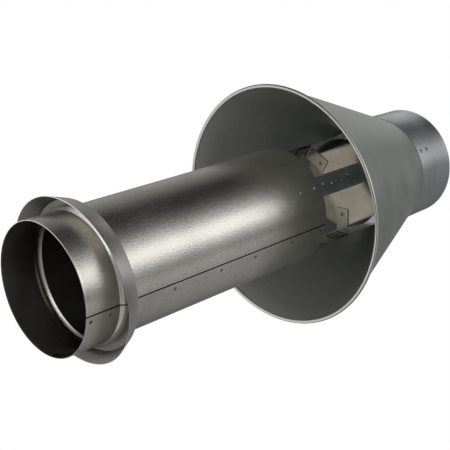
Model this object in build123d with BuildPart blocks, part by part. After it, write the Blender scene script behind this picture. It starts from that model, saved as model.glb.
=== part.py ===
from build123d import *
from math import asin, cos, degrees, radians, sin, sqrt
import os

# Flue terminal cap in stainless sheet, built like an anti-downdraught terminal.
# The flue rises through the inlet tube, meets a baffle disc carried on three legs, and leaves
# through the gap round the disc to the outlet collar, or to the sides under the conical skirt.
# Lengths are millimetres. The flue's axis is +Z, the open mouth stands on z = 0,
# and the first leg is on the -Y side.

# Inlet tube: one rolled sheet, lapped along a straight seam and swaged out into a bead
tube_radius = 75.0
tube_length = 378.0
tube_sheet = 0.6
seam_angle = -52.0
seam_blend = 70.0
seam_run_in = 8.0
seam_relief = 1.0

# Swaged bead: the seat ring's plate stands on its upper flank
bead_start = 43.0
bead_width = 12.5
bead_height = 4.0

# Seat ring: a flat plate with a flared band turned back towards the mouth, pressed a little oval
ring_sheet = 0.8
ring_depth = 21.0
ring_plate_radius = 86.3
ring_rim_radius = 94.0
ring_plate_oval = 3.4
ring_rim_oval = 6.8
ring_long_axis = -34.0
ring_fold = 1.6
ring_fit = 0.05

# Conical skirt: a wired edge round the wide end and a turned neck at the narrow one
skirt_sheet = 0.8
skirt_overlap = 9.5
skirt_height = 222.0
skirt_radius = 159.3
skirt_roll = 4.6
neck_length = 36.0

# Outlet collar: its lower end is eased out, slides over the neck and stands on the skirt's shoulder
collar_sheet = 0.8
collar_radius = 78.0
collar_length = 69.3
collar_ease = 0.3
collar_ease_length = 4.0

# Legs: three curved straps, riveted inside the tube and inside the neck, with a set towards the top
leg_count = 3
leg_first_angle = -90.0
leg_sheet = 1.2
leg_width = 27.0
leg_lap_in_tube = 47.0
leg_top_gap = 2.0
leg_set_length = 16.0
leg_set_below_neck = 12.0

# Baffle disc and its three brackets
baffle_radius = 63.0
baffle_sheet = 1.0
baffle_gap = 132.0
bracket_sheet = 1.5
bracket_width = 19.0
bracket_bend = 1.5
bracket_lap_on_disc = 26.5
bracket_flange = 27.0
bracket_blank = 2.0  # each bracket is trimmed from a turned blank this many times its size

# Blind rivets: heads, shanks and the holes that they fill
rivet_head_radius = 2.8
rivet_head_height = 1.1
rivet_shank_radius = 1.6
rivet_core_radius = 0.8
rivet_core_depth = 0.6
rivet_fit = 0.05
tube_rivet_edge = 11.0
tube_rivet_pitch = 26.0
neck_rivet_edge = 8.0
neck_rivet_pitch = 13.5
disc_rivet_edge = 18.0
flange_rivet_edge = 14.0
drill_length = 12.0

# Levels along the flue
ring_plate_bottom = bead_start + bead_width
ring_plate_top = ring_plate_bottom + ring_sheet
ring_rim_bottom = ring_plate_top - ring_depth
skirt_bottom = tube_length - skirt_overlap
neck_bottom = skirt_bottom + skirt_height
neck_top = neck_bottom + neck_length
baffle_bottom = tube_length + baffle_gap
leg_bottom = tube_length - leg_lap_in_tube
leg_top = neck_top - leg_top_gap
leg_set_top = neck_bottom - leg_set_below_neck

# Radii that fit one another
tube_bore = tube_radius - tube_sheet
leg_bore = tube_bore - leg_sheet
collar_bore = collar_radius - collar_sheet
sleeve_radius = collar_radius + collar_ease
neck_radius = sleeve_radius - collar_sheet
neck_bore = neck_radius - skirt_sheet
arm_start = baffle_radius - bracket_lap_on_disc
hole_radius = rivet_shank_radius + rivet_fit

leg_angles = [leg_first_angle + 360.0 / leg_count * turn for turn in range(leg_count)]


def outward(angle):
    """Unit vector from the axis at an angle round it."""
    return Vector(cos(radians(angle)), sin(radians(angle)), 0)


def side_plane(angle):
    """Plane through the axis: its x runs outwards at the angle and its y runs up the flue."""
    return Plane(origin=(0, 0, 0), x_dir=outward(angle), z_dir=outward(angle - 90))


def seat_outside(radius, angle, level):
    """Plane that faces outwards at a point of a cylinder about the axis."""
    return Plane(origin=outward(angle) * radius + Vector(0, 0, level), x_dir=(0, 0, 1), z_dir=outward(angle))


def seat_inside(radius, angle, level):
    """Plane that faces the axis at a point inside a cylinder."""
    return Plane(origin=outward(angle) * radius + Vector(0, 0, level), x_dir=(0, 0, 1), z_dir=-outward(angle))


def flat_inside(radius):
    """How far out a flat rivet head reaches before its edge meets the inside of a cylinder."""
    return sqrt(radius**2 - rivet_head_radius**2)


def tube_edge(offset, bottom, top):
    """Draws one face of the tube's wall, with its bead, at an offset in from the outside."""
    wall = tube_radius - offset
    radius = ((bead_width / 2) ** 2 + bead_height**2) / (2 * bead_height)
    sunk = radius - bead_height
    centre = bead_start + bead_width / 2
    half = sqrt((radius - offset) ** 2 - (sunk - offset) ** 2)
    Line((wall, bottom), (wall, centre - half))
    ThreePointArc((wall, centre - half), (wall + bead_height, centre), (wall, centre + half))
    Line((wall, centre + half), (wall, top))


def ring_radii(level, inset):
    """Half the length and half the width of the seat ring's oval band at a level."""
    share = (level - ring_rim_bottom) / ring_depth
    middle = ring_rim_radius + (ring_plate_radius - ring_rim_radius) * share - inset
    oval = ring_rim_oval + (ring_plate_oval - ring_rim_oval) * share
    return middle + oval, middle - oval


def drill(seats):
    """Drills a rivet hole through the sheets that lie at each seat."""
    with Locations(*seats):
        Cylinder(hole_radius, drill_length, mode=Mode.SUBTRACT)


def rivet(grip):
    """Blind rivet: its domed head sits on z = 0, and its tail is the grip away below."""
    dome = (rivet_head_radius**2 + rivet_head_height**2) / (2 * rivet_head_height)
    lean = degrees(asin(rivet_head_radius / dome))
    with BuildPart() as piece:
        with BuildSketch(Plane.XZ):
            with BuildLine():
                head = CenterArc((0, rivet_head_height - dome), dome, 90 - lean, lean)
                tail = CenterArc((0, dome - rivet_head_height - grip), dome, -90, lean)
                Polyline(tail @ 1, (rivet_shank_radius, -grip), (rivet_shank_radius, 0), head @ 0)
                Line(head @ 1, tail @ 0)
            make_face()
        revolve(axis=Axis.Z)
        with Locations((0, 0, rivet_head_height)):
            Hole(rivet_core_radius, rivet_core_depth)
    return piece.part


def keep(part, name):
    """Labels a finished piece and writes it."""
    part.label = name
    export_step(part, f"parts/{name}.step")


os.makedirs("parts", exist_ok=True)

# Rivet seats, where the heads lie
tube_rivet_levels = [tube_length - tube_rivet_edge - tube_rivet_pitch, tube_length - tube_rivet_edge]
neck_rivet_levels = [neck_bottom + neck_rivet_edge, neck_bottom + neck_rivet_edge + neck_rivet_pitch]
flange_seat_radius = flat_inside(leg_bore - bracket_sheet)
flange_rivet_level = baffle_bottom - flange_rivet_edge
tube_seats = [seat_outside(tube_radius, angle, z) for angle in leg_angles for z in tube_rivet_levels]
neck_seats = [seat_outside(sleeve_radius, angle, z) for angle in leg_angles for z in neck_rivet_levels]
flange_seats = [seat_inside(flange_seat_radius, angle, flange_rivet_level) for angle in leg_angles]
disc_seats = [
    Plane(
        origin=outward(angle) * (baffle_radius - disc_rivet_edge) + Vector(0, 0, baffle_bottom - bracket_sheet),
        x_dir=outward(angle),
        z_dir=(0, 0, -1),
    )
    for angle in leg_angles
]

# Inlet tube
with BuildPart() as inlet_tube:
    with BuildSketch(Plane.XZ):
        with BuildLine():
            tube_edge(0, 0, tube_length)
            Line((tube_radius, tube_length), (tube_bore, tube_length))
            tube_edge(tube_sheet, 0, tube_length)
            Line((tube_bore, 0), (tube_radius, 0))
        make_face()
    revolve(axis=Axis.Z)
    # The sheet's outer edge stands one thickness proud at the seam and eases down round the tube
    lap_shift = tube_sheet / (1 - cos(radians(seam_blend)))
    lap_end = seam_blend + seam_run_in
    for bottom, top in ((0, bead_start - seam_relief), (ring_plate_top + seam_relief, tube_length)):
        with BuildSketch(Plane.XY.offset(bottom)):
            with Locations(outward(seam_angle) * lap_shift):
                Circle(tube_radius + tube_sheet - lap_shift)
            Circle(tube_radius - tube_sheet / 2, mode=Mode.SUBTRACT)
            with BuildLine():
                beyond = tube_radius * 2
                Polyline(
                    (0, 0),
                    outward(seam_angle) * beyond,
                    outward(seam_angle + lap_end / 2) * beyond,
                    outward(seam_angle + lap_end) * beyond,
                    (0, 0),
                )
            make_face(mode=Mode.INTERSECT)
        extrude(amount=top - bottom)
    drill(tube_seats)
keep(inlet_tube.part, "inlet_tube")

# Seat ring
ring_plane = Plane.XY.rotated((0, 0, ring_long_axis))
with BuildPart() as seat_ring:
    for level in (ring_rim_bottom, ring_plate_top):
        with BuildSketch(ring_plane.offset(level)):
            Ellipse(*ring_radii(level, 0))
    loft()
    fillet(seat_ring.faces().sort_by(Axis.Z)[-1].edges(), ring_fold + ring_sheet)
    with BuildPart(mode=Mode.SUBTRACT) as ring_space:
        for level in (ring_rim_bottom, ring_plate_bottom):
            with BuildSketch(ring_plane.offset(level)):
                Ellipse(*ring_radii(level, ring_sheet))
        loft()
        fillet(ring_space.faces().sort_by(Axis.Z)[-1].edges(), ring_fold)
    with Locations((0, 0, ring_plate_top)):
        Hole(tube_radius + ring_fit, ring_depth)
keep(seat_ring.part, "seat_ring")

# Skirt, from its wired edge to the top of its turned neck
with BuildPart() as skirt_cone:
    wire_centre = (skirt_radius - skirt_roll / 2, skirt_bottom + skirt_roll / 2)
    with BuildSketch(Plane.XZ):
        with BuildLine():
            Polyline(wire_centre, (neck_radius, neck_bottom), (neck_radius, neck_top))
            offset(amount=skirt_sheet, side=Side.LEFT, kind=Kind.INTERSECTION)
        make_face()
        with Locations(wire_centre):
            Circle(skirt_roll / 2)
    revolve(axis=Axis.Z)
    drill(neck_seats)
keep(skirt_cone.part, "skirt_cone")

# Outlet collar
with BuildPart() as outlet_collar:
    collar_top = neck_bottom + collar_length
    ease_top = neck_top + collar_ease_length
    with BuildSketch(Plane.XZ):
        with BuildLine():
            Polyline(
                (neck_radius, neck_bottom),
                (neck_radius, neck_top),
                (collar_bore, ease_top),
                (collar_bore, collar_top),
                (collar_radius, collar_top),
                (collar_radius, ease_top),
                (sleeve_radius, neck_top),
                (sleeve_radius, neck_bottom),
                close=True,
            )
        make_face()
    revolve(axis=Axis.Z)
    drill(neck_seats)
keep(outlet_collar.part, "outlet_collar")

# Baffle disc
with BuildPart() as baffle_disc:
    with BuildSketch(Plane.XY.offset(baffle_bottom)):
        Circle(baffle_radius)
    extrude(amount=baffle_sheet)
    drill(disc_seats)
keep(baffle_disc.part, "baffle_disc")

# Legs and brackets, one of each at every leg angle
leg_arc = degrees(leg_width / tube_bore)
blank_start = arm_start / bracket_blank
blank_arc = bracket_blank * 2 * degrees(asin(bracket_width / 2 / arm_start))
for count, angle in enumerate(leg_angles, start=1):
    with BuildPart() as leg:
        with BuildSketch(side_plane(angle - leg_arc / 2)):
            with BuildLine():
                Polyline(
                    (tube_bore, leg_bottom),
                    (tube_bore, leg_set_top - leg_set_length),
                    (neck_bore, leg_set_top),
                    (neck_bore, leg_top),
                    (neck_bore - leg_sheet, leg_top),
                    (neck_bore - leg_sheet, leg_set_top),
                    (leg_bore, leg_set_top - leg_set_length),
                    (leg_bore, leg_bottom),
                    close=True,
                )
            make_face()
        revolve(axis=Axis.Z, revolution_arc=leg_arc)
        drill(tube_seats + neck_seats + flange_seats)
    keep(leg.part, f"leg_{count}")

    with BuildPart() as bracket:
        with BuildSketch(side_plane(angle - blank_arc / 2)):
            with BuildLine():
                flange_bottom = baffle_bottom - bracket_flange
                inside = leg_bore - bracket_sheet
                under = baffle_bottom - bracket_sheet
                FilletPolyline(
                    (blank_start, baffle_bottom),
                    (leg_bore, baffle_bottom),
                    (leg_bore, flange_bottom),
                    radius=bracket_bend + bracket_sheet,
                )
                Line((leg_bore, flange_bottom), (inside, flange_bottom))
                FilletPolyline((inside, flange_bottom), (inside, under), (blank_start, under), radius=bracket_bend)
                Line((blank_start, under), (blank_start, baffle_bottom))
            make_face()
        revolve(axis=Axis.Z, revolution_arc=blank_arc)
        with BuildSketch(Plane(origin=(0, 0, flange_bottom), x_dir=outward(angle), z_dir=(0, 0, 1))):
            with Locations((arm_start, 0)):
                Rectangle(tube_radius, bracket_width, align=(Align.MIN, Align.CENTER))
        extrude(amount=bracket_flange, mode=Mode.INTERSECT)
        drill(flange_seats + disc_seats)
    keep(bracket.part, f"bracket_{count}")

# Rivets
tube_grip = tube_radius - flat_inside(leg_bore)
neck_grip = sleeve_radius - flat_inside(neck_bore - leg_sheet)
flange_grip = tube_bore - flange_seat_radius
disc_grip = bracket_sheet + baffle_sheet
for name, seats, grip in (
    ("tube_rivet", tube_seats, tube_grip),
    ("neck_rivet", neck_seats, neck_grip),
    ("flange_rivet", flange_seats, flange_grip),
    ("disc_rivet", disc_seats, disc_grip),
):
    blank = rivet(grip)
    for count, seat in enumerate(seats, start=1):
        with BuildPart() as placed:
            with Locations(seat):
                add(blank)
        keep(placed.part, f"{name}_{count}")
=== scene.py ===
import math

import bmesh
import bpy
from mathutils import Matrix, Vector


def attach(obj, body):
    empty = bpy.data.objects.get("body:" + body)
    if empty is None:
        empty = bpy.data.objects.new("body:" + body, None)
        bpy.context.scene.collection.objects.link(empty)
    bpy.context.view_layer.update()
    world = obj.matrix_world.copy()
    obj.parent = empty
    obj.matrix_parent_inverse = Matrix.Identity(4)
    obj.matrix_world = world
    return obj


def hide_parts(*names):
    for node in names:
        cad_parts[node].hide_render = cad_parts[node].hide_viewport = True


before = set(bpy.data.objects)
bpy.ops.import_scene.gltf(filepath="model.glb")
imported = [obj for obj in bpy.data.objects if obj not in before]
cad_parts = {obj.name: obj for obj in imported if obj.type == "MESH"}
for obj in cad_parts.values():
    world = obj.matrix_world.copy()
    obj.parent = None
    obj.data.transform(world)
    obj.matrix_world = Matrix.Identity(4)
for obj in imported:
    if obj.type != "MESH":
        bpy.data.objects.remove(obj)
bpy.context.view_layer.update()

MM = 0.001

# Inlet tube
tube_radius, tube_length, tube_sheet = 75.0, 378.0, 0.6
seam_angle, seam_blend = -52.0, 70.0
seam_gap_width, seam_gap_depth = 1.1, 0.4
seam_gap_slope = 0.15  # the gap's far wall slopes over this share of its width
bead_start, bead_width, bead_height = 43.0, 12.5, 4.0
bead_back_steepness = 1.3  # the upper side of the bead is steeper, where the ring's plate rests on it
bead_inside_share = 0.5  # how much of the bead's height shows inside the tube

# Seat ring
ring_sheet, ring_depth, ring_fold, ring_fit = 0.8, 21.0, 1.6, 0.05
ring_plate_radius, ring_rim_radius = 86.3, 94.0
ring_plate_oval, ring_rim_oval, ring_long_axis = 3.4, 6.8, -34.0

# Skirt and collar
skirt_sheet, skirt_overlap, skirt_height, skirt_radius, skirt_roll = 0.8, 9.5, 222.0, 159.3, 4.6
roll_groove_start, roll_groove_end, roll_groove_depth = -60, -40, 0.45  # where the rolled edge closes
roll_closing_turn = 34  # the roll's lip stops this many degrees short of the cone
roll_notch_depth, roll_notch_length = 0.7, 0.5  # and leaves a small notch there
neck_length, shoulder_bend = 36.0, 3.0
collar_sheet, collar_radius, collar_length, collar_ease, collar_ease_length = 0.8, 78.0, 69.3, 0.3, 4.0

# Legs, disc and brackets
leg_count, leg_first_angle, leg_sheet, leg_width = 3, -90.0, 1.2, 27.0
leg_lap_in_tube, leg_top_gap, leg_set_length, leg_set_below_neck, leg_bend = 47.0, 2.0, 16.0, 12.0, 5.0
baffle_radius, baffle_sheet, baffle_gap = 63.0, 1.0, 132.0
bracket_sheet, bracket_width, bracket_bend = 1.5, 19.0, 1.5
bracket_lap_on_disc, bracket_flange = 26.5, 27.0

# Blind rivets and spot welds
rivet_head_radius, rivet_head_height, rivet_shank_radius = 2.8, 1.1, 1.6
tube_rivet_edge, tube_rivet_pitch, neck_rivet_edge, neck_rivet_pitch = 11.0, 26.0, 8.0, 13.5
disc_rivet_edge, flange_rivet_edge = 18.0, 14.0
weld_angle = -47.5
weld_levels = [5.3, 30.0, 120.0, 191.0, 248.0, 312.0, 368.0]
# Pressed pips on a leg, by degrees aside and level
leg_pips = [(-1.5, 386.0), (0.5, 402.0), (1.0, 421.0), (-3.0, 437.0), (-1.5, 463.0)]

# A bright line along the tube, of painted highlight: its place, half of its width in degrees, and its two
# ends
scribe_angle, scribe_half, scribe_bottom, scribe_top = -61.5, 0.6, 262.0, 352.0

# Shares from 0 to 1 of painted highlight on the tube's edges, bead and bright line, and of darkening:
# painted shade inside the tube, and a plain darker tone on the legs' inner faces and the brackets
edge_shine, bead_shine, scribe_shine = 0.6, 0.9, 0.6
inside_film, inside_soot, flange_soot, arm_soot = 0.45, 0.55, 0.7, 0.4
sooty_angle, most_soot = 150.0, 0.85  # one leg's inner face is darker than the other two, as painted shade
# Painted shade inside the ring, on one side of it: full within the first number of degrees, and gone from
# the second on
ring_oil, ring_oil_angle, ring_oil_full, ring_oil_end = 0.8, 150, 45, 65

# Levels and radii that follow from the sizes above
ring_plate_bottom = bead_start + bead_width
ring_plate_top = ring_plate_bottom + ring_sheet
ring_rim_bottom = ring_plate_top - ring_depth
skirt_bottom = tube_length - skirt_overlap
neck_bottom = skirt_bottom + skirt_height
neck_top = neck_bottom + neck_length
collar_top = neck_bottom + collar_length
baffle_bottom = tube_length + baffle_gap
leg_bottom = tube_length - leg_lap_in_tube
leg_top = neck_top - leg_top_gap
leg_set_top = neck_bottom - leg_set_below_neck
tube_bore = tube_radius - tube_sheet
leg_bore = tube_bore - leg_sheet
collar_bore = collar_radius - collar_sheet
neck_radius = collar_bore + collar_ease
neck_bore = neck_radius - skirt_sheet
arm_start = baffle_radius - bracket_lap_on_disc

columns = 288  # faces round the axis
cut_edge = 0.15  # a sheared edge is eased this much by deburring
crease = math.radians(32)  # faces that meet at more than this show an edge


def around(radius, angle, level):
    """Point at a radius, an angle round the axis and a level, in metres."""
    turn = math.radians(angle)
    return Vector((radius * math.cos(turn), radius * math.sin(turn), level)) * MM


def arc(centre, radius, first, last, steps):
    """Points along an arc in a section's plane."""
    turns = [math.radians(first + (last - first) * step / steps) for step in range(steps + 1)]
    return [(centre[0] + radius * math.cos(turn), centre[1] + radius * math.sin(turn)) for turn in turns]


def bent(points, radii, steps=6):
    """Section line through points, with each inner corner turned on its bend radius."""
    line = [points[0]]
    for before, corner, after, radius in zip(points, points[1:], points[2:], radii):
        corner = Vector(corner)
        back, on = (Vector(before) - corner).normalized(), (Vector(after) - corner).normalized()
        half = back.angle(on) / 2
        centre = corner + (back + on).normalized() * (radius / math.sin(half))
        start, end = corner + back * (radius / math.tan(half)), corner + on * (radius / math.tan(half))
        for step in range(steps + 1):
            share = step / steps
            spoke = (start - centre).slerp(end - centre, share)
            line.append(tuple(centre + spoke.normalized() * radius))
    line.append(points[-1])
    return line


def spread(first, last, steps):
    """Evenly spaced values from first to last."""
    return [first + (last - first) * step / steps for step in range(steps + 1)]


def add_piece(name, points, faces, slot, nodes=(), finish=None, grime=None, shine=None):
    """Makes a closed mesh piece. Given CAD nodes, it makes the piece ride on the body and hides the nodes
    that it stands for.
    Each point's darkening, mostly painted shade, goes from bare metal at 0 to dark at 1, and its painted
    highlight with burnish goes from the sheet's own surface at 0 to a light, smooth edge at 1."""
    mesh = bpy.data.meshes.new(name)
    form = bmesh.new()
    for point in points:
        form.verts.new(point)
    for label, shares in (("grime", grime), ("shine", shine)):
        layer = form.verts.layers.float.new(label)
        for corner, share in zip(form.verts, shares or []):
            corner[layer] = share
    corners = list(form.verts)
    for face in faces:
        form.faces.new([corners[corner] for corner in face])
    bmesh.ops.remove_doubles(form, verts=form.verts, dist=1e-6)
    bmesh.ops.recalc_face_normals(form, faces=form.faces)
    form.to_mesh(mesh)
    form.free()
    mesh.shade_smooth()
    mesh.set_sharp_from_angle(angle=crease)
    mesh.materials.append(finishes[finish or slot])
    piece = bpy.data.objects.new(name, mesh)
    bpy.context.scene.collection.objects.link(piece)
    if nodes:
        place_piece(piece, nodes)
    return piece


def place_piece(piece, nodes=()):
    """Attaches a finished piece to the root body, and hides the CAD nodes, if any, that it stands for."""
    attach(piece, "root")
    if nodes:
        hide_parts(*nodes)


def settle(piece):
    """Turns a piece with modifiers into a plain mesh."""
    graph = bpy.context.evaluated_depsgraph_get()
    mesh = bpy.data.meshes.new_from_object(piece.evaluated_get(graph))
    mesh.name = piece.name
    piece.modifiers.clear()
    piece.data = mesh
    return piece


def net(rows, across, closed=True):
    """Faces between rows of points, each row running back to its first point. In a closed net the last
    row joins the first one too."""
    faces = []
    for row in range(rows if closed else rows - 1):
        above = (row + 1) % rows
        for column in range(across):
            beside = (column + 1) % across
            faces.append((row * across + column, row * across + beside,
                          above * across + beside, above * across + column))
    return faces


def turned(name, section, slot, nodes, radius_at=None, finish=None, grime_at=None):
    """Turns a closed section of points (radius, level, painted highlight share and darkening share) round
    the axis. radius_at changes a point's radius with the angle, and the function given after finish gives
    the share of its darkening there, which is painted shade."""
    points, shine, grime = [], [], []
    for radius, level, bright, dirt in (tuple(point) + (0.0,) * (4 - len(point)) for point in section):
        shine += [bright] * columns
        for column in range(columns):
            angle = 360 * column / columns
            grime.append(dirt * (grime_at(angle) if grime_at else 1.0))
            reach = radius_at(radius, level, angle) if radius_at else radius
            points.append(around(reach, angle, level))
    faces = [face for face in net(len(section), columns) if not on_axis(points, face)]
    add_piece(name, points, faces, slot, nodes, finish, grime, shine)


def on_axis(points, face):
    """True for a face whose corners all lie on the axis."""
    return all(points[corner].xy.length < 1e-9 for corner in face)


# Colours and nodes


def linear(hex_colour):
    """An sRGB hex colour as linear values with full alpha."""
    parts = [int(hex_colour[place : place + 2], 16) / 255 for place in (1, 3, 5)]
    return [part / 12.92 if part <= 0.04045 else ((part + 0.055) / 1.055) ** 2.4
            for part in parts] + [1.0]


def add_node(tree, kind, settings=None, links=None):
    """Adds a node, sets its own settings, and gives each named socket a value or a link."""
    node = tree.nodes.new(kind)
    for name, value in (settings or {}).items():
        setattr(node, name, value)
    for name, value in (links or {}).items():
        socket = node.inputs[name]
        if isinstance(value, bpy.types.NodeSocket):
            tree.links.new(value, socket)
        else:
            socket.default_value = value
    return node


def ramp(node, stops):
    """Sets a colour ramp's stops from pairs of position and colour."""
    elements = node.color_ramp.elements
    while len(elements) > 1:
        elements.remove(elements[-1])
    for count, (position, colour) in enumerate(stops):
        element = elements[0] if count == 0 else elements.new(position)
        element.position, element.color = position, colour


def grey(level):
    """An opaque grey."""
    return (level, level, level, 1.0)


def mixed(tree, share, low, high):
    """Mixes two colours, each a socket or a value, and gives back the result's socket."""
    node = add_node(tree, "ShaderNodeMix", {"data_type": "RGBA"})
    tree.links.new(share, node.inputs[0])
    for socket, value in ((node.inputs[6], low), (node.inputs[7], high)):
        if isinstance(value, bpy.types.NodeSocket):
            tree.links.new(value, socket)
        else:
            socket.default_value = value
    return node.outputs[2]


# What painted highlight and darkening, mostly painted shade, do to a surface
burnished_tone, burnished_roughness = "#e6e4df", 0.16
dirt_tone = "#1c1a17"
stain_size = 55  # mm, from one cloudy patch of the sheet to the next


def sheet_metal(name, tones, roughness, brush, brush_depth, grit, grit_depth, speckle=0.0, drawn=0.0):
    """Stainless sheet. brush is the size of one polishing streak along X, Y and Z, and grit the size of
    the rolled surface's grain, all in mm and as coarse as they need to be to show. tones are the
    darkest and lightest colour of the bare metal, and speckle is the share of the grain in them. drawn
    is how far the rolling lines, which run round the axis, draw reflections out along it."""
    material = bpy.data.materials.new(name)
    material.use_nodes = True
    tree = material.node_tree
    tree.nodes.clear()
    place = add_node(tree, "ShaderNodeTexCoord").outputs["Object"]
    per_metre = [1 / (size * MM) for size in brush]
    stroke_place = add_node(tree, "ShaderNodeMapping", links={"Vector": place, "Scale": per_metre})
    strokes = add_node(tree, "ShaderNodeTexNoise", links={
        "Vector": stroke_place.outputs["Vector"], "Scale": 1.0, "Detail": 3.0, "Roughness": 0.6})
    grains = add_node(tree, "ShaderNodeTexNoise", links={
        "Vector": place, "Scale": 1 / (grit * MM), "Detail": 2.0, "Roughness": 0.7})
    stains = add_node(tree, "ShaderNodeTexNoise", links={
        "Vector": place, "Scale": 1 / (stain_size * MM), "Detail": 3.0, "Roughness": 0.55})
    tone = add_node(tree, "ShaderNodeMix", {"data_type": "FLOAT"}, {
        "Factor": 0.4, "A": strokes.outputs["Fac"], "B": stains.outputs["Fac"]})
    spotted = add_node(tree, "ShaderNodeMix", {"data_type": "FLOAT"}, {
        "Factor": speckle, "A": tone.outputs["Result"], "B": grains.outputs["Fac"]})
    colour = add_node(tree, "ShaderNodeValToRGB", links={"Fac": spotted.outputs["Result"]})
    ramp(colour, [(0.32, linear(tones[0])), (0.68, linear(tones[1]))])
    # Painted highlight lightens the colour and makes it smoother; darkening, mostly painted shade, takes
    # it towards the dark tone
    burnish = add_node(tree, "ShaderNodeAttribute", {"attribute_name": "shine"})
    bright = mixed(tree, burnish.outputs["Fac"], colour.outputs["Color"], linear(burnished_tone))
    dirt = add_node(tree, "ShaderNodeAttribute", {"attribute_name": "grime"})
    worn = mixed(tree, dirt.outputs["Fac"], bright, linear(dirt_tone))
    sheen = add_node(tree, "ShaderNodeMix", {"data_type": "FLOAT"}, {
        "Factor": 0.5, "A": grains.outputs["Fac"], "B": stains.outputs["Fac"]})
    dull = add_node(tree, "ShaderNodeMapRange", links={
        "Value": sheen.outputs["Result"], "From Min": 0.35, "From Max": 0.65,
        "To Min": roughness[0], "To Max": roughness[1]})
    rubbed = add_node(tree, "ShaderNodeMix", {"data_type": "FLOAT"}, {
        "Factor": burnish.outputs["Fac"], "A": dull.outputs["Result"], "B": burnished_roughness})
    ground = add_node(tree, "ShaderNodeBump", links={
        "Strength": brush_depth, "Distance": 0.1 * MM, "Height": strokes.outputs["Fac"]})
    # Where the surface is darkened, mostly as painted shade, its grain is flattened too
    filled = add_node(tree, "ShaderNodeMapRange", links={
        "Value": dirt.outputs["Fac"], "From Max": 0.4, "To Min": grit_depth, "To Max": grit_depth * 0.1})
    rolled = add_node(tree, "ShaderNodeBump", links={
        "Strength": filled.outputs["Result"], "Distance": 0.4 * MM, "Height": grains.outputs["Fac"],
        "Normal": ground.outputs["Normal"]})
    shader = add_node(tree, "ShaderNodeBsdfPrincipled", links={
        "Base Color": worn, "Metallic": 1.0, "Roughness": rubbed.outputs["Result"],
        "Anisotropic": drawn, "Anisotropic Rotation": 0.25, "Normal": rolled.outputs["Normal"]})
    add_node(tree, "ShaderNodeOutputMaterial", links={"Surface": shader.outputs["BSDF"]})
    return material


finishes = {
    # Bright cold-rolled sheet, rolled into a tube: reflections stay sharp round it and are drawn out
    # along it. Its grain, finer than 0.5 mm on the real sheet, is drawn at 2.2 mm so that it sparkles
    "polished_stainless": sheet_metal(
        "bright_rolled_stainless", tones=("#bab8b1", "#dfddd6"), roughness=(0.19, 0.25),
        brush=(60, 60, 60), brush_depth=0.02, grit=2.2, grit_depth=0.5, speckle=0.5, drawn=0.85),
    # Satin sheet, brushed round the ring after pressing: soft reflections with fine streaks
    "satin_stainless": sheet_metal(
        "satin_stainless_sheet", tones=("#b9b7b2", "#e0ded9"), roughness=(0.36, 0.46),
        brush=(30, 30, 1.8), brush_depth=0.2, grit=1.2, grit_depth=0.05, speckle=0.1, drawn=0.5),
    # Matt pickled sheet: an even soft grey, brushed round the axis when the cone was spun. Its tone is
    # lightened as painted light, for the light that the inside of the cone lacks
    "matt_stainless": sheet_metal(
        "matt_pickled_stainless", tones=("#9ea19d", "#b8bab6"), roughness=(0.50, 0.60),
        brush=(60, 60, 2.4), brush_depth=0.12, grit=1.4, grit_depth=0.05, speckle=0.2),
    # The same sheet, brushed a second time on the collar, with clear streaks, in a darker, slightly blue
    # tone than the cone's copy, which is lightened as painted light
    "brushed_collar": sheet_metal(
        "brushed_collar_stainless", tones=("#969a9b", "#b3b6b7"), roughness=(0.32, 0.42),
        brush=(60, 60, 2.4), brush_depth=0.15, grit=1.4, grit_depth=0.05, speckle=0.1),
    # Bright strap, sheared and bent: shiny, with a blue tint painted in for the light inside the skirt
    "leg_stainless": sheet_metal(
        "bright_strap_stainless", tones=("#cbd8da", "#e2ecee"), roughness=(0.22, 0.30),
        brush=(20, 20, 90), brush_depth=0.04, grit=1.0, grit_depth=0.03, speckle=0.1),
    # The same strap on the brackets, dulled by handling
    "bracket_stainless": sheet_metal(
        "handled_strap_stainless", tones=("#a39f95", "#b2aea4"), roughness=(0.24, 0.30),
        brush=(40, 40, 90), brush_depth=0.04, grit=0.8, grit_depth=0.02, speckle=0.1),
    # Baffle sheet, warm from a first firing: clouded and slightly yellow
    "baffle_sheet": sheet_metal(
        "clouded_baffle_stainless", tones=("#8a8375", "#b8b1a2"), roughness=(0.06, 0.11),
        brush=(40, 40, 40), brush_depth=0.02, grit=1.2, grit_depth=0.06, speckle=0.1),
    # Plain steel blind rivets with a drawn mandrel: small bright heads
    "rivet_steel": sheet_metal(
        "zinc_plated_rivet_steel", tones=("#c8c9c8", "#e2e3e2"), roughness=(0.14, 0.22),
        brush=(4, 4, 4), brush_depth=0.05, grit=0.5, grit_depth=0.02),
}

# Inlet tube


def tube_rise(level):
    """How far the swaged bead stands out of the tube at a level: an arc with softened feet."""
    crest = bead_start + bead_width / 2
    half, off = bead_width / 2, abs(level - crest)
    if level > crest:
        off *= bead_back_steepness
    if off >= half:
        return 0.0
    bow = (half**2 + bead_height**2) / (2 * bead_height)
    crown = math.sqrt(bow**2 - off**2) - (bow - bead_height)
    soft = bead_height * (0.5 + 0.5 * math.cos(math.pi * off / half))
    return 0.6 * crown + 0.4 * soft


def seam_rise(past):
    """How far the outer layer of the lap stands proud, at an angle past the seam. It follows a circle
    whose centre lies towards the seam, and which meets the tube's own circle at seam_blend."""
    if past >= seam_blend:
        return 0.0
    shift = tube_sheet / (1 - math.cos(math.radians(seam_blend)))
    turn = math.radians(past)
    eased = shift * math.cos(turn) + math.sqrt(
        (tube_radius + tube_sheet - shift) ** 2 - (shift * math.sin(turn)) ** 2)
    return max(0.0, eased - tube_radius)


def scribed(turn, level):
    """True on the bright line of painted highlight, at an angle past the seam and a level."""
    away = abs(seam_angle + turn - 360 - scribe_angle)
    return scribe_bottom < level < scribe_top and away < scribe_half


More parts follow.
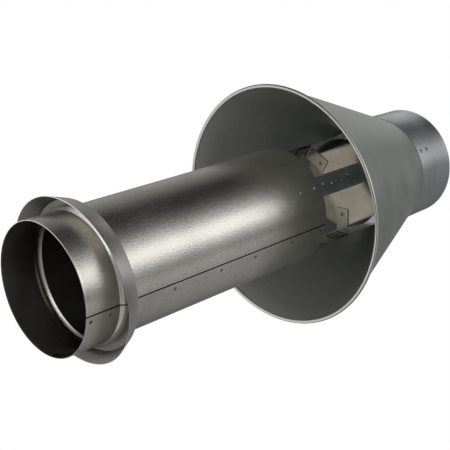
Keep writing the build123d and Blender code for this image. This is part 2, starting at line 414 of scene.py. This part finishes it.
def make_inlet_tube():
    """The tube with its lap: rows of points go up the outside and come down the inside."""
    levels = [cut_edge] + spread(4, 40, 4)
    levels += spread(bead_start - 1, ring_plate_bottom - 0.2, 22)
    levels += [ring_plate_bottom, ring_plate_top, ring_plate_top + 0.6]
    levels += spread(ring_plate_top + 5, tube_length - cut_edge, 24)
    gap_turn = math.degrees(seam_gap_width / tube_radius)
    turns = spread(0, 360 - gap_turn * (1 + seam_gap_slope), columns) + [360 - gap_turn, 360.0]
    # The last two columns are the floor of the gap along the seam, darkened with painted shade
    sunk = [0.0] * (columns + 1) + [seam_gap_depth, seam_gap_depth]
    dirty = [0.0] * (columns + 1) + [1.0, 1.0]
    rings = [[tube_bore + cut_edge, 0.0, 0], [tube_radius - cut_edge, 0.0, 1]]
    rings += [[tube_radius + tube_rise(level), level, 1] for level in levels]
    rings += [[tube_radius - cut_edge, tube_length, 1], [tube_bore + cut_edge, tube_length, 0]]
    rings += [[tube_bore + bead_inside_share * tube_rise(level), level, 0] for level in reversed(levels)]
    points, grime, shine = [], [], []
    # The inside is darkened with painted shade, except on the bead and at the mouth's edge
    for radius, level, outside in rings:
        on_bead = tube_rise(level) > 0.1
        film = 0.0 if outside or on_bead or level <= 0.5 else inside_film
        # Painted highlight on the cut edges, on the bead and along the bright line
        rubbed = edge_shine if level in (0.0, cut_edge) else bead_shine if on_bead else 0.0
        shine += [max(rubbed, scribe_shine * outside * scribed(turn, level)) for turn in turns]
        in_ring = ring_plate_bottom - 0.3 < level < ring_plate_top + 0.3
        for turn, drop, dirt in zip(turns, sunk, dirty):
            lap = 0.0 if in_ring else seam_rise(turn)
            points.append(around(radius + outside * (lap - drop), seam_angle + turn, level))
            grime.append(dirt * outside + film)
    add_piece("inlet_tube_sheet", points, net(len(rings), len(turns)), "polished_stainless",
              ["inlet_tube"], grime=grime, shine=shine)


make_inlet_tube()

# Seat ring: an oval band, folded in to a flat plate that rests on the bead


def ring_reach(radius, level, angle):
    """Stretches a point of the ring's section along the ring's long axis."""
    share = (level - ring_rim_bottom) / ring_depth
    oval = ring_rim_oval + (ring_plate_oval - ring_rim_oval) * share
    inner = tube_radius + ring_fit
    fade = min(1.0, max(0.0, (radius - inner) / (ring_plate_radius - inner)))
    turn = math.radians(angle - ring_long_axis)
    long_half, short_half = radius + oval * fade, radius - oval * fade
    return long_half * short_half / math.hypot(short_half * math.cos(turn), long_half * math.sin(turn))


ring_outside = bent(
    [(ring_rim_radius, ring_rim_bottom + cut_edge), (ring_plate_radius, ring_plate_top),
     (tube_radius + ring_fit, ring_plate_top)], [ring_fold + ring_sheet])
ring_inside = bent(
    [(tube_radius + ring_fit, ring_plate_bottom), (ring_plate_radius - ring_sheet, ring_plate_bottom),
     (ring_rim_radius - ring_sheet, ring_rim_bottom + cut_edge)], [ring_fold])


def oil_film(angle):
    """Share of the painted shade inside the ring at an angle."""
    away = abs((angle - ring_oil_angle + 180) % 360 - 180)
    return min(1.0, max(0.0, (ring_oil_end - away) / (ring_oil_end - ring_oil_full)))


# The ring's sheared rim carries the most painted highlight, its outside less and its inside least; one
# side of the inside is darkened with painted shade
turned("seat_ring_band", [(ring_rim_radius - cut_edge, ring_rim_bottom, 1.0)]
       + [(*ring_outside[0], 0.6)] + ring_outside[1:] + [(*point, 0.2, ring_oil) for point in ring_inside]
       + [(ring_rim_radius - ring_sheet + cut_edge, ring_rim_bottom, 1.0)],
       "satin_stainless", ["seat_ring"], ring_reach, grime_at=oil_film)

# Conical skirt: its wide edge is rolled outwards round a wire


def way(angle):
    """Unit step at an angle in a section's plane."""
    return math.cos(math.radians(angle)), math.sin(math.radians(angle))


def make_skirt():
    """The cone, from its neck down the inside, round the rolled edge, and up the outside again."""
    wire = Vector((skirt_radius - skirt_roll / 2, skirt_bottom + skirt_roll / 2))
    shoulder = Vector((neck_radius, neck_bottom))
    run = (shoulder - wire).normalized()
    inward = Vector((-run.y, run.x))
    roll = skirt_roll / 2
    inner_shoulder = Vector((neck_bore, neck_bottom)) + run * (skirt_sheet * inward.y * 0.5)
    start = wire + inward * skirt_sheet + run * math.sqrt(roll**2 - skirt_sheet**2)
    first = math.degrees(math.atan2(start.y - wire.y, start.x - wire.x)) % 360 - 360
    last = math.degrees(math.atan2(run.y, run.x)) - roll_closing_turn
    inner = bent([(neck_bore, neck_top), tuple(inner_shoulder), tuple(start)], [shoulder_bend])
    notch = wire + run * (roll - roll_notch_depth)
    outer_start = tuple(wire + run * (roll + roll_notch_length))
    outer = bent([outer_start, tuple(shoulder), (neck_radius, neck_top)], [shoulder_bend + skirt_sheet])
    long_run = [tuple(Vector(inner[-2]).lerp(start, step / 8)) for step in range(1, 8)]
    # The inside was pressed against the former, so it is smoother, most of all next to the rolled edge;
    # the same share lightens it as painted highlight
    inner = [(*point, 0.25) for point in inner[:-1] + long_run] + [(*inner[-1], 0.4)]
    up_run = [tuple(Vector(outer[0]).lerp(Vector(outer[1]), step / 8)) for step in range(1, 8)]
    outer = outer[:1] + up_run + outer[1:]
    # The groove where the roll closes carries painted highlight, with painted shade along its floor
    groove = [(*wire + Vector(way(turn)) * (roll - depth), 0.7, dirt) for turn, depth, dirt in (
        (roll_groove_start, 0.0, 0.0), (roll_groove_start + 3, roll_groove_depth, 1.0),
        (roll_groove_end - 3, roll_groove_depth, 1.0), (roll_groove_end, 0.0, 0.1))]
    # The roll is burnished and lightened with painted highlight, most of all on its inner side
    before = [(*point, 1.0) for point in arc(wire, roll, first, roll_groove_start, 14)[1:-1]]
    after = [(*point, 0.6, 0.05) for point in arc(wire, roll, roll_groove_end, last, 14)[1:]]
    turned("skirt_cone_sheet", inner + before + groove + after + [tuple(notch)] + outer,
           "matt_stainless", ["skirt_cone"])


make_skirt()

# Outlet collar: eased out over its lower end, so that it goes over the skirt's neck
sleeve_radius = collar_radius + collar_ease
turned("outlet_collar_sheet", [
    (neck_radius, neck_bottom + cut_edge), (neck_radius, neck_top),
    (collar_bore, neck_top + collar_ease_length),
    (collar_bore, collar_top - cut_edge), (collar_bore + cut_edge, collar_top),
    (collar_radius - cut_edge, collar_top), (collar_radius, collar_top - cut_edge),
    (collar_radius, neck_top + collar_ease_length), (sleeve_radius, neck_top),
    (sleeve_radius, neck_bottom + cut_edge), (sleeve_radius - cut_edge, neck_bottom),
    (neck_radius + cut_edge, neck_bottom),
], "matt_stainless", ["outlet_collar"], finish="brushed_collar")

# Baffle disc
baffle_top = baffle_bottom + baffle_sheet
turned("baffle_disc_sheet", [
    (0, baffle_bottom), (20, baffle_bottom), (45, baffle_bottom),
    (baffle_radius - cut_edge, baffle_bottom),
    (baffle_radius, baffle_bottom + cut_edge), (baffle_radius, baffle_top - cut_edge),
    (baffle_radius - cut_edge, baffle_top), (45, baffle_top), (20, baffle_top), (0, baffle_top),
], "polished_stainless", ["baffle_disc"], finish="baffle_sheet")

# Legs and brackets: one of each is made, and a tree of nodes repeats it round the axis


def strap(name, outer, inner, offsets, place, slot, soot):
    """A flat strap whose two faces follow section lines, with its edges eased. place puts a point of a
    line at an offset across the strap, and the last argument gives the share of darkening at that point."""
    line = outer + inner[::-1]
    points = [place(point, offset) for offset in offsets for point in line]
    grime = [soot(point, point in inner) for point in line] * len(offsets)
    count = len(line)
    faces = net(len(offsets), count, closed=False)
    for end in (0, (len(offsets) - 1) * count):
        for index in range(len(outer) - 1):
            faces.append((end + index, end + index + 1, end + count - 2 - index, end + count - 1 - index))
    piece = add_piece(name, points, faces, slot, grime=grime)
    edge = piece.modifiers.new("sheared edge", "BEVEL")
    edge.width, edge.segments = cut_edge * 1.5 * MM, 2
    edge.limit_method, edge.angle_limit = "ANGLE", math.radians(50)
    return settle(piece)


def repeat_tree():
    """Node tree that repeats a piece at even angles round the axis."""
    tree = bpy.data.node_groups.new("repeat round the axis", "GeometryNodeTree")
    tree.interface.new_socket("Geometry", in_out="INPUT", socket_type="NodeSocketGeometry")
    tree.interface.new_socket("Count", in_out="INPUT", socket_type="NodeSocketInt")
    tree.interface.new_socket("Finish", in_out="INPUT", socket_type="NodeSocketMaterial")
    tree.interface.new_socket("Geometry", in_out="OUTPUT", socket_type="NodeSocketGeometry")
    given = add_node(tree, "NodeGroupInput")
    seats = add_node(tree, "GeometryNodePoints", links={"Count": given.outputs["Count"]})
    number = add_node(tree, "GeometryNodeInputIndex")
    share = add_node(tree, "ShaderNodeMath", {"operation": "DIVIDE"})
    tree.links.new(number.outputs["Index"], share.inputs[0])
    tree.links.new(given.outputs["Count"], share.inputs[1])
    turn = add_node(tree, "ShaderNodeMath", {"operation": "MULTIPLY"})
    tree.links.new(share.outputs["Value"], turn.inputs[0])
    turn.inputs[1].default_value = math.tau
    spin = add_node(tree, "ShaderNodeCombineXYZ", links={"Z": turn.outputs["Value"]})
    copies = add_node(tree, "GeometryNodeInstanceOnPoints", links={
        "Points": seats.outputs["Points"], "Instance": given.outputs["Geometry"],
        "Rotation": spin.outputs["Vector"]})
    real = add_node(tree, "GeometryNodeRealizeInstances", links={"Geometry": copies.outputs["Instances"]})
    coated = add_node(tree, "GeometryNodeSetMaterial", links={
        "Geometry": real.outputs["Geometry"], "Material": given.outputs["Finish"]})
    add_node(tree, "NodeGroupOutput", links={"Geometry": coated.outputs["Geometry"]})
    return tree


def fixing_tree():
    """Node tree that sets a fixing on every seat, turned to face the way that the seat faces."""
    tree = bpy.data.node_groups.new("fixings on seats", "GeometryNodeTree")
    tree.interface.new_socket("Geometry", in_out="INPUT", socket_type="NodeSocketGeometry")
    tree.interface.new_socket("Fixing", in_out="INPUT", socket_type="NodeSocketObject")
    tree.interface.new_socket("Finish", in_out="INPUT", socket_type="NodeSocketMaterial")
    tree.interface.new_socket("Least Size", in_out="INPUT", socket_type="NodeSocketFloat")
    tree.interface.new_socket("Seed", in_out="INPUT", socket_type="NodeSocketInt")
    tree.interface.new_socket("Geometry", in_out="OUTPUT", socket_type="NodeSocketGeometry")
    given = add_node(tree, "NodeGroupInput")
    shape = add_node(tree, "GeometryNodeObjectInfo", links={"Object": given.outputs["Fixing"]})
    facing = add_node(tree, "GeometryNodeInputNamedAttribute", {"data_type": "FLOAT_VECTOR"}, {
        "Name": "facing"})
    aligned = add_node(tree, "FunctionNodeAlignRotationToVector", {"axis": "Z"}, {
        "Vector": facing.outputs["Attribute"]})
    size = add_node(tree, "FunctionNodeRandomValue", {"data_type": "FLOAT"}, {
        "Seed": given.outputs["Seed"]})
    tree.links.new(given.outputs["Least Size"], size.inputs[2])
    size.inputs[3].default_value = 1.0
    copies = add_node(tree, "GeometryNodeInstanceOnPoints", links={
        "Points": given.outputs["Geometry"], "Instance": shape.outputs["Geometry"],
        "Rotation": aligned.outputs["Rotation"], "Scale": size.outputs[1]})
    real = add_node(tree, "GeometryNodeRealizeInstances", links={"Geometry": copies.outputs["Instances"]})
    coated = add_node(tree, "GeometryNodeSetMaterial", links={
        "Geometry": real.outputs["Geometry"], "Material": given.outputs["Finish"]})
    add_node(tree, "NodeGroupOutput", links={"Geometry": coated.outputs["Geometry"]})
    return tree


def through_tree(piece, tree, values):
    """Runs a piece through a tree with its named inputs, and keeps the plain mesh that comes out."""
    modifier = piece.modifiers.new(tree.name, "NODES")
    modifier.node_group = tree
    for item in tree.interface.items_tree:
        if item.in_out == "INPUT" and item.name in values:
            modifier[item.identifier] = values[item.name]
    settle(piece)


repeat_round = repeat_tree()
leg_arc = math.degrees(leg_width / tube_bore)


def leg_face(low, high):
    """Section line of one face of a leg, from its lap in the tube, past its set, to the neck."""
    set_bottom = leg_set_top - leg_set_length
    line = bent([(low, leg_bottom), (low, set_bottom), (high, leg_set_top), (high, leg_top)],
                [leg_bend, leg_bend])
    lower = [(low, level) for level in spread(leg_bottom, set_bottom - 2 * leg_bend, 10)]
    return lower + line[1:]


def leg_place(point, share):
    """A leg is curved to the tube; share runs from -0.5 to 0.5 across it."""
    return around(point[0], leg_first_angle + share * leg_arc, point[1])


def leg_soot(point, inside):
    """The inner face of a leg is darker."""
    return inside_soot if inside else 0.0


legs = strap("leg_straps", leg_face(tube_bore, neck_bore), leg_face(leg_bore, neck_bore - leg_sheet),
             spread(-0.5, 0.5, 14), leg_place, "leg_stainless", leg_soot)
through_tree(legs, repeat_round, {"Count": leg_count, "Finish": finishes["leg_stainless"]})
# One leg's inner face, on the corners darkened above, is darkened further than on the other two, as
# painted shade
for corner, share in zip(legs.data.vertices, legs.data.attributes["grime"].data):
    if share.value > 0.5 and corner.co.xy.angle(around(1, sooty_angle, 0).xy) < math.radians(30):
        share.value = most_soot
place_piece(legs, [f"leg_{count}" for count in (1, 2, 3)])


def bracket_place(point, offset):
    """A bracket's arm is flat under the disc, and its flange follows the curve inside the leg."""
    radius, level = point
    share = min(1.0, max(0.0, (radius - arm_start) / (leg_bore - bracket_sheet - arm_start)))
    reach = radius - share * (radius - math.sqrt(radius**2 - offset**2))
    turn = Matrix.Rotation(math.radians(leg_first_angle), 3, "Z")
    return turn @ (Vector((reach, offset, level)) * MM)


def bracket_soot(point, inside):
    """The flange is darkest, the arm less dark, and the rest is bare."""
    radius, level = point
    return flange_soot if level < arm_under - 4 else arm_soot if radius > arm_start + 1 else 0.0


flange_bottom = baffle_bottom - bracket_flange
arm_under = baffle_bottom - bracket_sheet
flange_inside = leg_bore - bracket_sheet
bracket_outer = bent([(arm_start, baffle_bottom), (leg_bore, baffle_bottom), (leg_bore, flange_bottom)],
                     [bracket_bend + bracket_sheet])
bracket_inner = bent([(arm_start, arm_under), (flange_inside, arm_under), (flange_inside, flange_bottom)],
                     [bracket_bend])
brackets = strap("disc_brackets", bracket_outer, bracket_inner,
                 spread(-bracket_width / 2, bracket_width / 2, 10), bracket_place, "leg_stainless",
                 bracket_soot)
through_tree(brackets, repeat_round, {"Count": leg_count, "Finish": finishes["bracket_stainless"]})
place_piece(brackets, [f"bracket_{count}" for count in (1, 2, 3)])

# Blind rivets and spot welds


def lathe(name, section, steps, slot):
    """A small round fixing about its own Z, closed at both poles. The section gives radius, height and
    darkening, which on the fixings is painted shade."""
    points, grime = [], []
    for radius, level, dirt in section:
        points += [around(radius, 360 * step / steps, level) for step in range(steps)]
        grime += [dirt] * steps
    return add_piece(name, points, net(len(section), steps, closed=False), slot, grime=grime)


def flat_inside(radius):
    """How far out a flat rivet head reaches before its edge meets the inside of a cylinder."""
    return math.sqrt(radius**2 - rivet_head_radius**2)


def blind_rivet(grip):
    """A domed head with the broken mandrel sunk in its middle, a shank, and the bulb that holds it."""
    # The mandrel's recess and the foot of the head are darkened with painted shade
    head = [
        (0.0, 0.4, 0.9), (0.6, 0.3, 1), (0.75, 0.05, 1), (1.2, 0.05, 1), (1.3, 0.85, 0.8),
        (1.5, rivet_head_height, 0), (1.9, 0.95, 0), (2.2, 0.72, 0.1), (2.45, 0.45, 1),
        (rivet_head_radius, 0.0, 1)]
    tail = [
        (rivet_shank_radius, 0.0, 1), (rivet_shank_radius, -grip, 0), (2.5, -grip - 0.1, 0),
        (2.6, -grip - 0.5, 0), (2.0, -grip - 0.95, 0), (1.0, -grip - rivet_head_height, 0),
        (0.0, -grip - rivet_head_height, 0)]
    return lathe("blind_rivet", head + tail, 32, "rivet_steel")


def seat_mesh(name, seats):
    """A mesh of loose points, one for each fixing, that carries the way each of them faces."""
    mesh = bpy.data.meshes.new(name)
    mesh.from_pydata([point for point, facing in seats], [], [])
    facings = mesh.attributes.new("facing", "FLOAT_VECTOR", "POINT")
    for value, (point, facing) in zip(facings.data, seats):
        value.vector = facing
    piece = bpy.data.objects.new(name, mesh)
    bpy.context.scene.collection.objects.link(piece)
    return piece


fixings = fixing_tree()


def set_fixings(name, seats, fixing, slot, least_size=1.0, seed=0):
    """Sets one fixing on each seat, each between the least size and full size, and drops the loose
    one."""
    piece = seat_mesh(name, seats)
    through_tree(piece, fixings, {
        "Fixing": fixing, "Finish": finishes[slot], "Least Size": least_size, "Seed": seed})
    bpy.data.objects.remove(fixing)
    return piece


leg_angles = [leg_first_angle + 360 / leg_count * turn for turn in range(leg_count)]
tube_levels = [tube_length - tube_rivet_edge - tube_rivet_pitch, tube_length - tube_rivet_edge]
neck_levels = [neck_bottom + neck_rivet_edge, neck_bottom + neck_rivet_edge + neck_rivet_pitch]
flange_seat = flat_inside(leg_bore - bracket_sheet)
# Each row of rivets: its name, the CAD nodes' name, the grip, and the seats with the way they face
rivet_rows = [
    ("tube_rivets", "tube_rivet", tube_radius - flat_inside(leg_bore), [
        (around(tube_radius, angle, level), around(1, angle, 0))
        for angle in leg_angles for level in tube_levels]),
    ("neck_rivets", "neck_rivet", sleeve_radius - flat_inside(neck_bore - leg_sheet), [
        (around(sleeve_radius, angle, level), around(1, angle, 0))
        for angle in leg_angles for level in neck_levels]),
    ("flange_rivets", "flange_rivet", tube_bore - flange_seat, [
        (around(flange_seat, angle, baffle_bottom - flange_rivet_edge), -around(1, angle, 0))
        for angle in leg_angles]),
    ("disc_rivets", "disc_rivet", bracket_sheet + baffle_sheet, [
        (around(baffle_radius - disc_rivet_edge, angle, arm_under), Vector((0, 0, -1)))
        for angle in leg_angles]),
]
for name, node, grip, seats in rivet_rows:
    rivets = set_fixings(name, seats, blind_rivet(grip), "rivet_steel")
    place_piece(rivets, [f"{node}_{number + 1}" for number in range(len(seats))])

# A spot weld: a small raised dot in a shallow ring darkened with painted shade, with a rim pressed up
# round it
weld = lathe("spot_weld", [
    (0.0, 0.22, 0), (0.45, 0.18, 0), (0.6, 0.02, 0.9), (0.9, 0.01, 1), (1.5, 0.01, 1), (1.8, 0.06, 0.9),
    (2.0, 0.16, 0.2), (2.2, 0.12, 0), (2.5, -0.05, 0), (2.5, -0.4, 0), (0.0, -0.4, 0)],
    20, "polished_stainless")
weld_radius = tube_radius + seam_rise(weld_angle - seam_angle)
weld_seats = [(around(weld_radius, weld_angle, level), around(1, weld_angle, 0)) for level in weld_levels]
welds = set_fixings("seam_spot_welds", weld_seats, weld, "polished_stainless", least_size=0.85, seed=3)
place_piece(welds)

# A pip: a low dome pressed out of the strap, with painted shade round its foot
pip = lathe("pressed_pip", [
    (0.0, 1.2, 0), (0.7, 1.1, 0), (1.2, 0.8, 0), (1.6, 0.4, 0.2), (1.9, 0.05, 1), (2.1, 0.0, 1),
    (2.1, -0.3, 1), (0.0, -0.3, 0)], 16, "rivet_steel")
pip_seats = [(around(tube_bore, angle + aside, level), around(1, angle + aside, 0))
             for angle in leg_angles for aside, level in leg_pips]
pips = set_fixings("leg_pressed_pips", pip_seats, pip, "rivet_steel", least_size=0.75, seed=5)
place_piece(pips)

# Studio: a pale floor, a white background, one soft lamp in front and one above
pale_paint = "#ecebe8"
# How bright the floor glows in the sheet metal, as a painted reflection. Under the object it goes by
# metres from the axis towards +X, bright on the -X side, with a painted dark strip that is turned a
# little from Y. Between the two distances from the axis in floor_fade it goes over to floor_far, which
# holds for the rest of the floor
floor_under = [(-0.25, 1.1), (-0.02, 1.3), (0.005, 0.35), (0.07, 0.22), (0.15, 0.20), (0.19, 0.60)]
floor_span, floor_scale, strip_turn, floor_far = 0.25, 1.3, 0.09, 0.6
floor_fade = (0.11, 0.19)
floor_reach = 14.0
floor_seen = 0.45  # light that the camera sees in the floor besides the light on it, so that it is pale


def make_floor():
    """Pale floor under the mouth. Seen from below it is clear, because the camera looks up past it. In
    the sheet metal it glows with a painted reflection.
    """
    mesh = bpy.data.meshes.new("studio_floor")
    corners = [(-floor_reach, -floor_reach, 0), (floor_reach, -floor_reach, 0),
               (floor_reach, floor_reach, 0), (-floor_reach, floor_reach, 0)]
    mesh.from_pydata(corners, [], [(0, 1, 2, 3)])
    material = bpy.data.materials.new("pale_floor_paint")
    material.use_nodes = True
    tree = material.node_tree
    tree.nodes.clear()
    paint = add_node(tree, "ShaderNodeBsdfDiffuse", links={"Color": linear(pale_paint)})
    spot = add_node(tree, "ShaderNodeTexCoord")
    across = add_node(tree, "ShaderNodeSeparateXYZ", links={"Vector": spot.outputs["Object"]})
    aside = add_node(tree, "ShaderNodeMath", {"operation": "MULTIPLY_ADD"})
    tree.links.new(across.outputs["Y"], aside.inputs[0])
    aside.inputs[1].default_value = -strip_turn
    tree.links.new(across.outputs["X"], aside.inputs[2])
    along = add_node(tree, "ShaderNodeMapRange", links={
        "Value": aside.outputs["Value"], "From Min": -floor_span, "From Max": floor_span})
    patches = add_node(tree, "ShaderNodeValToRGB", links={"Fac": along.outputs["Result"]})
    ramp(patches, [(0.5 + step / (2 * floor_span), grey(level / floor_scale))
                   for step, level in floor_under])
    distance = add_node(tree, "ShaderNodeVectorMath", {"operation": "LENGTH"})
    tree.links.new(spot.outputs["Object"], distance.inputs[0])
    far = add_node(tree, "ShaderNodeMapRange", {"interpolation_type": "SMOOTHSTEP"}, {
        "Value": distance.outputs["Value"], "From Min": floor_fade[0], "From Max": floor_fade[1]})
    sheen = mixed(tree, far.outputs["Result"], patches.outputs["Color"], grey(floor_far / floor_scale))
    glow = add_node(tree, "ShaderNodeEmission", links={"Color": sheen, "Strength": floor_scale})
    pale = add_node(tree, "ShaderNodeEmission", links={
        "Color": linear(pale_paint), "Strength": floor_seen})
    nothing = add_node(tree, "ShaderNodeEmission", links={"Strength": 0.0})
    clear = add_node(tree, "ShaderNodeBsdfTransparent")
    side = add_node(tree, "ShaderNodeNewGeometry")
    ray = add_node(tree, "ShaderNodeLightPath")
    to_camera = add_node(tree, "ShaderNodeMixShader", links={"Fac": ray.outputs["Is Camera Ray"]})
    tree.links.new(nothing.outputs["Emission"], to_camera.inputs[1])
    tree.links.new(pale.outputs["Emission"], to_camera.inputs[2])
    lit = add_node(tree, "ShaderNodeAddShader")
    tree.links.new(paint.outputs["BSDF"], lit.inputs[0])
    tree.links.new(to_camera.outputs["Shader"], lit.inputs[1])
    shown = add_node(tree, "ShaderNodeMixShader", links={"Fac": ray.outputs["Is Glossy Ray"]})
    tree.links.new(lit.outputs["Shader"], shown.inputs[1])
    tree.links.new(glow.outputs["Emission"], shown.inputs[2])
    either = add_node(tree, "ShaderNodeMixShader", links={"Fac": side.outputs["Backfacing"]})
    tree.links.new(shown.outputs["Shader"], either.inputs[1])
    tree.links.new(clear.outputs["BSDF"], either.inputs[2])
    add_node(tree, "ShaderNodeOutputMaterial", links={"Surface": either.outputs["Shader"]})
    material.cycles.emission_sampling = "NONE"
    mesh.materials.append(material)
    floor = bpy.data.objects.new("studio_floor", mesh)
    bpy.context.scene.collection.objects.link(floor)


make_floor()

front = -85.5  # the photo's side of the object, as an angle round the axis
# Brightness of the room, by degrees round from the front towards -X; it is darker on one side
room = [
    (-180, 0.20), (-168, 0.24), (-156, 0.16), (-145, 0.11), (-132, 0.22), (-120, 0.25),
    (-100, 0.30), (-84, 0.33), (-72, 0.31), (-58, 0.42), (-48, 0.46), (-36, 0.27),
    (-26, 0.52), (-15, 1.06), (0, 0.85), (14, 0.94), (25, 0.54), (36, 0.25),
    (48, 0.12), (60, 0.05), (72, 0.032), (84, 0.028), (96, 0.11), (108, 0.20),
    (120, 0.26), (132, 0.35), (144, 0.36), (156, 0.30), (168, 0.15), (180, 0.20),
]
room_scale = 1.1  # the brightest wall; the ramp holds shares of it
ceiling_level, ceiling_start = 0.07, 0.8  # a dark ceiling, from this height of the look upwards


def make_room():
    """White behind the object, and round it a plain room that is darker on one side."""
    world = bpy.data.worlds.new("studio_room")
    bpy.context.scene.world = world
    world.use_nodes = True
    tree = world.node_tree
    tree.nodes.clear()
    ray = add_node(tree, "ShaderNodeLightPath")
    look = add_node(tree, "ShaderNodeTexCoord")
    turned_look = add_node(tree, "ShaderNodeMapping", {"vector_type": "VECTOR"}, {
        "Vector": look.outputs["Generated"], "Rotation": (0, 0, math.radians(-front))})
    round_axis = add_node(tree, "ShaderNodeTexGradient", {"gradient_type": "RADIAL"}, {
        "Vector": turned_look.outputs["Vector"]})
    walls = add_node(tree, "ShaderNodeValToRGB", links={"Fac": round_axis.outputs["Fac"]})
    ramp(walls, sorted((0.5 - angle / 360, grey(level / room_scale)) for angle, level in room))
    height = add_node(tree, "ShaderNodeSeparateXYZ", links={"Vector": look.outputs["Generated"]})
    overhead = add_node(tree, "ShaderNodeMapRange", links={
        "Value": height.outputs["Z"], "From Min": ceiling_start, "From Max": 1.0})
    seen = mixed(tree, overhead.outputs["Result"], walls.outputs["Color"],
                 grey(ceiling_level / room_scale))
    lit = add_node(tree, "ShaderNodeBackground", links={"Color": seen, "Strength": room_scale})
    white = add_node(tree, "ShaderNodeBackground", links={"Color": grey(1.0)})
    either = add_node(tree, "ShaderNodeMixShader", links={"Fac": ray.outputs["Is Camera Ray"]})
    tree.links.new(lit.outputs["Background"], either.inputs[1])
    tree.links.new(white.outputs["Background"], either.inputs[2])
    add_node(tree, "ShaderNodeOutputWorld", links={"Surface": either.outputs["Shader"]})


make_room()


def soft_lamp(name, place, target, width, height, brightness):
    """A rectangular soft lamp, given by how bright its face looks."""
    light = bpy.data.lights.new(name, "AREA")
    light.shape, light.size, light.size_y = "RECTANGLE", width, height
    light.energy = brightness * math.pi * width * height
    lamp = bpy.data.objects.new(name, light)
    lamp.location = place
    lamp.rotation_euler = (Vector(target) - Vector(place)).to_track_quat("-Z", "Y").to_euler()
    bpy.context.scene.collection.objects.link(lamp)


middle = Vector((0, 0, 0.3))  # the lamps point at the middle of the object
lamp_way = Vector((math.cos(math.radians(front)), math.sin(math.radians(front)), 0))
soft_lamp("front_soft_box", place=middle + lamp_way * 1.75 + Vector((0, 0, 1.5)), target=middle,
          width=0.7, height=1.5, brightness=0.65)
soft_lamp("overhead_soft_box", place=(-0.92, 0.33, 2.62), target=middle,
          width=1.1, height=1.1, brightness=1.0)


# The camera, found from the circles of the tube, ring, skirt and collar: its place in mm, what is
# right and up for it, and its lens
camera_place = Vector((68.09, -866.45, -516.53))
camera_right, camera_up = Vector((0.38261, -0.60581, 0.69757)), Vector((-0.92208, -0.29783, 0.2471))
camera_lens, camera_sensor = 76.367, 36.0


def make_camera():
    """Camera at the photo's viewing angle."""
    data = bpy.data.cameras.new("photo_camera")
    data.sensor_width, data.lens = camera_sensor, camera_lens
    data.clip_start, data.clip_end = 0.05, 60.0
    camera = bpy.data.objects.new("photo_camera", data)
    matrix = Matrix((camera_right, camera_up, camera_right.cross(camera_up))).transposed().to_4x4()
    matrix.translation = camera_place * MM
    camera.matrix_world = matrix
    bpy.context.scene.collection.objects.link(camera)
    bpy.context.scene.camera = camera


make_camera()

bpy.context.scene.view_settings.view_transform = "Standard"
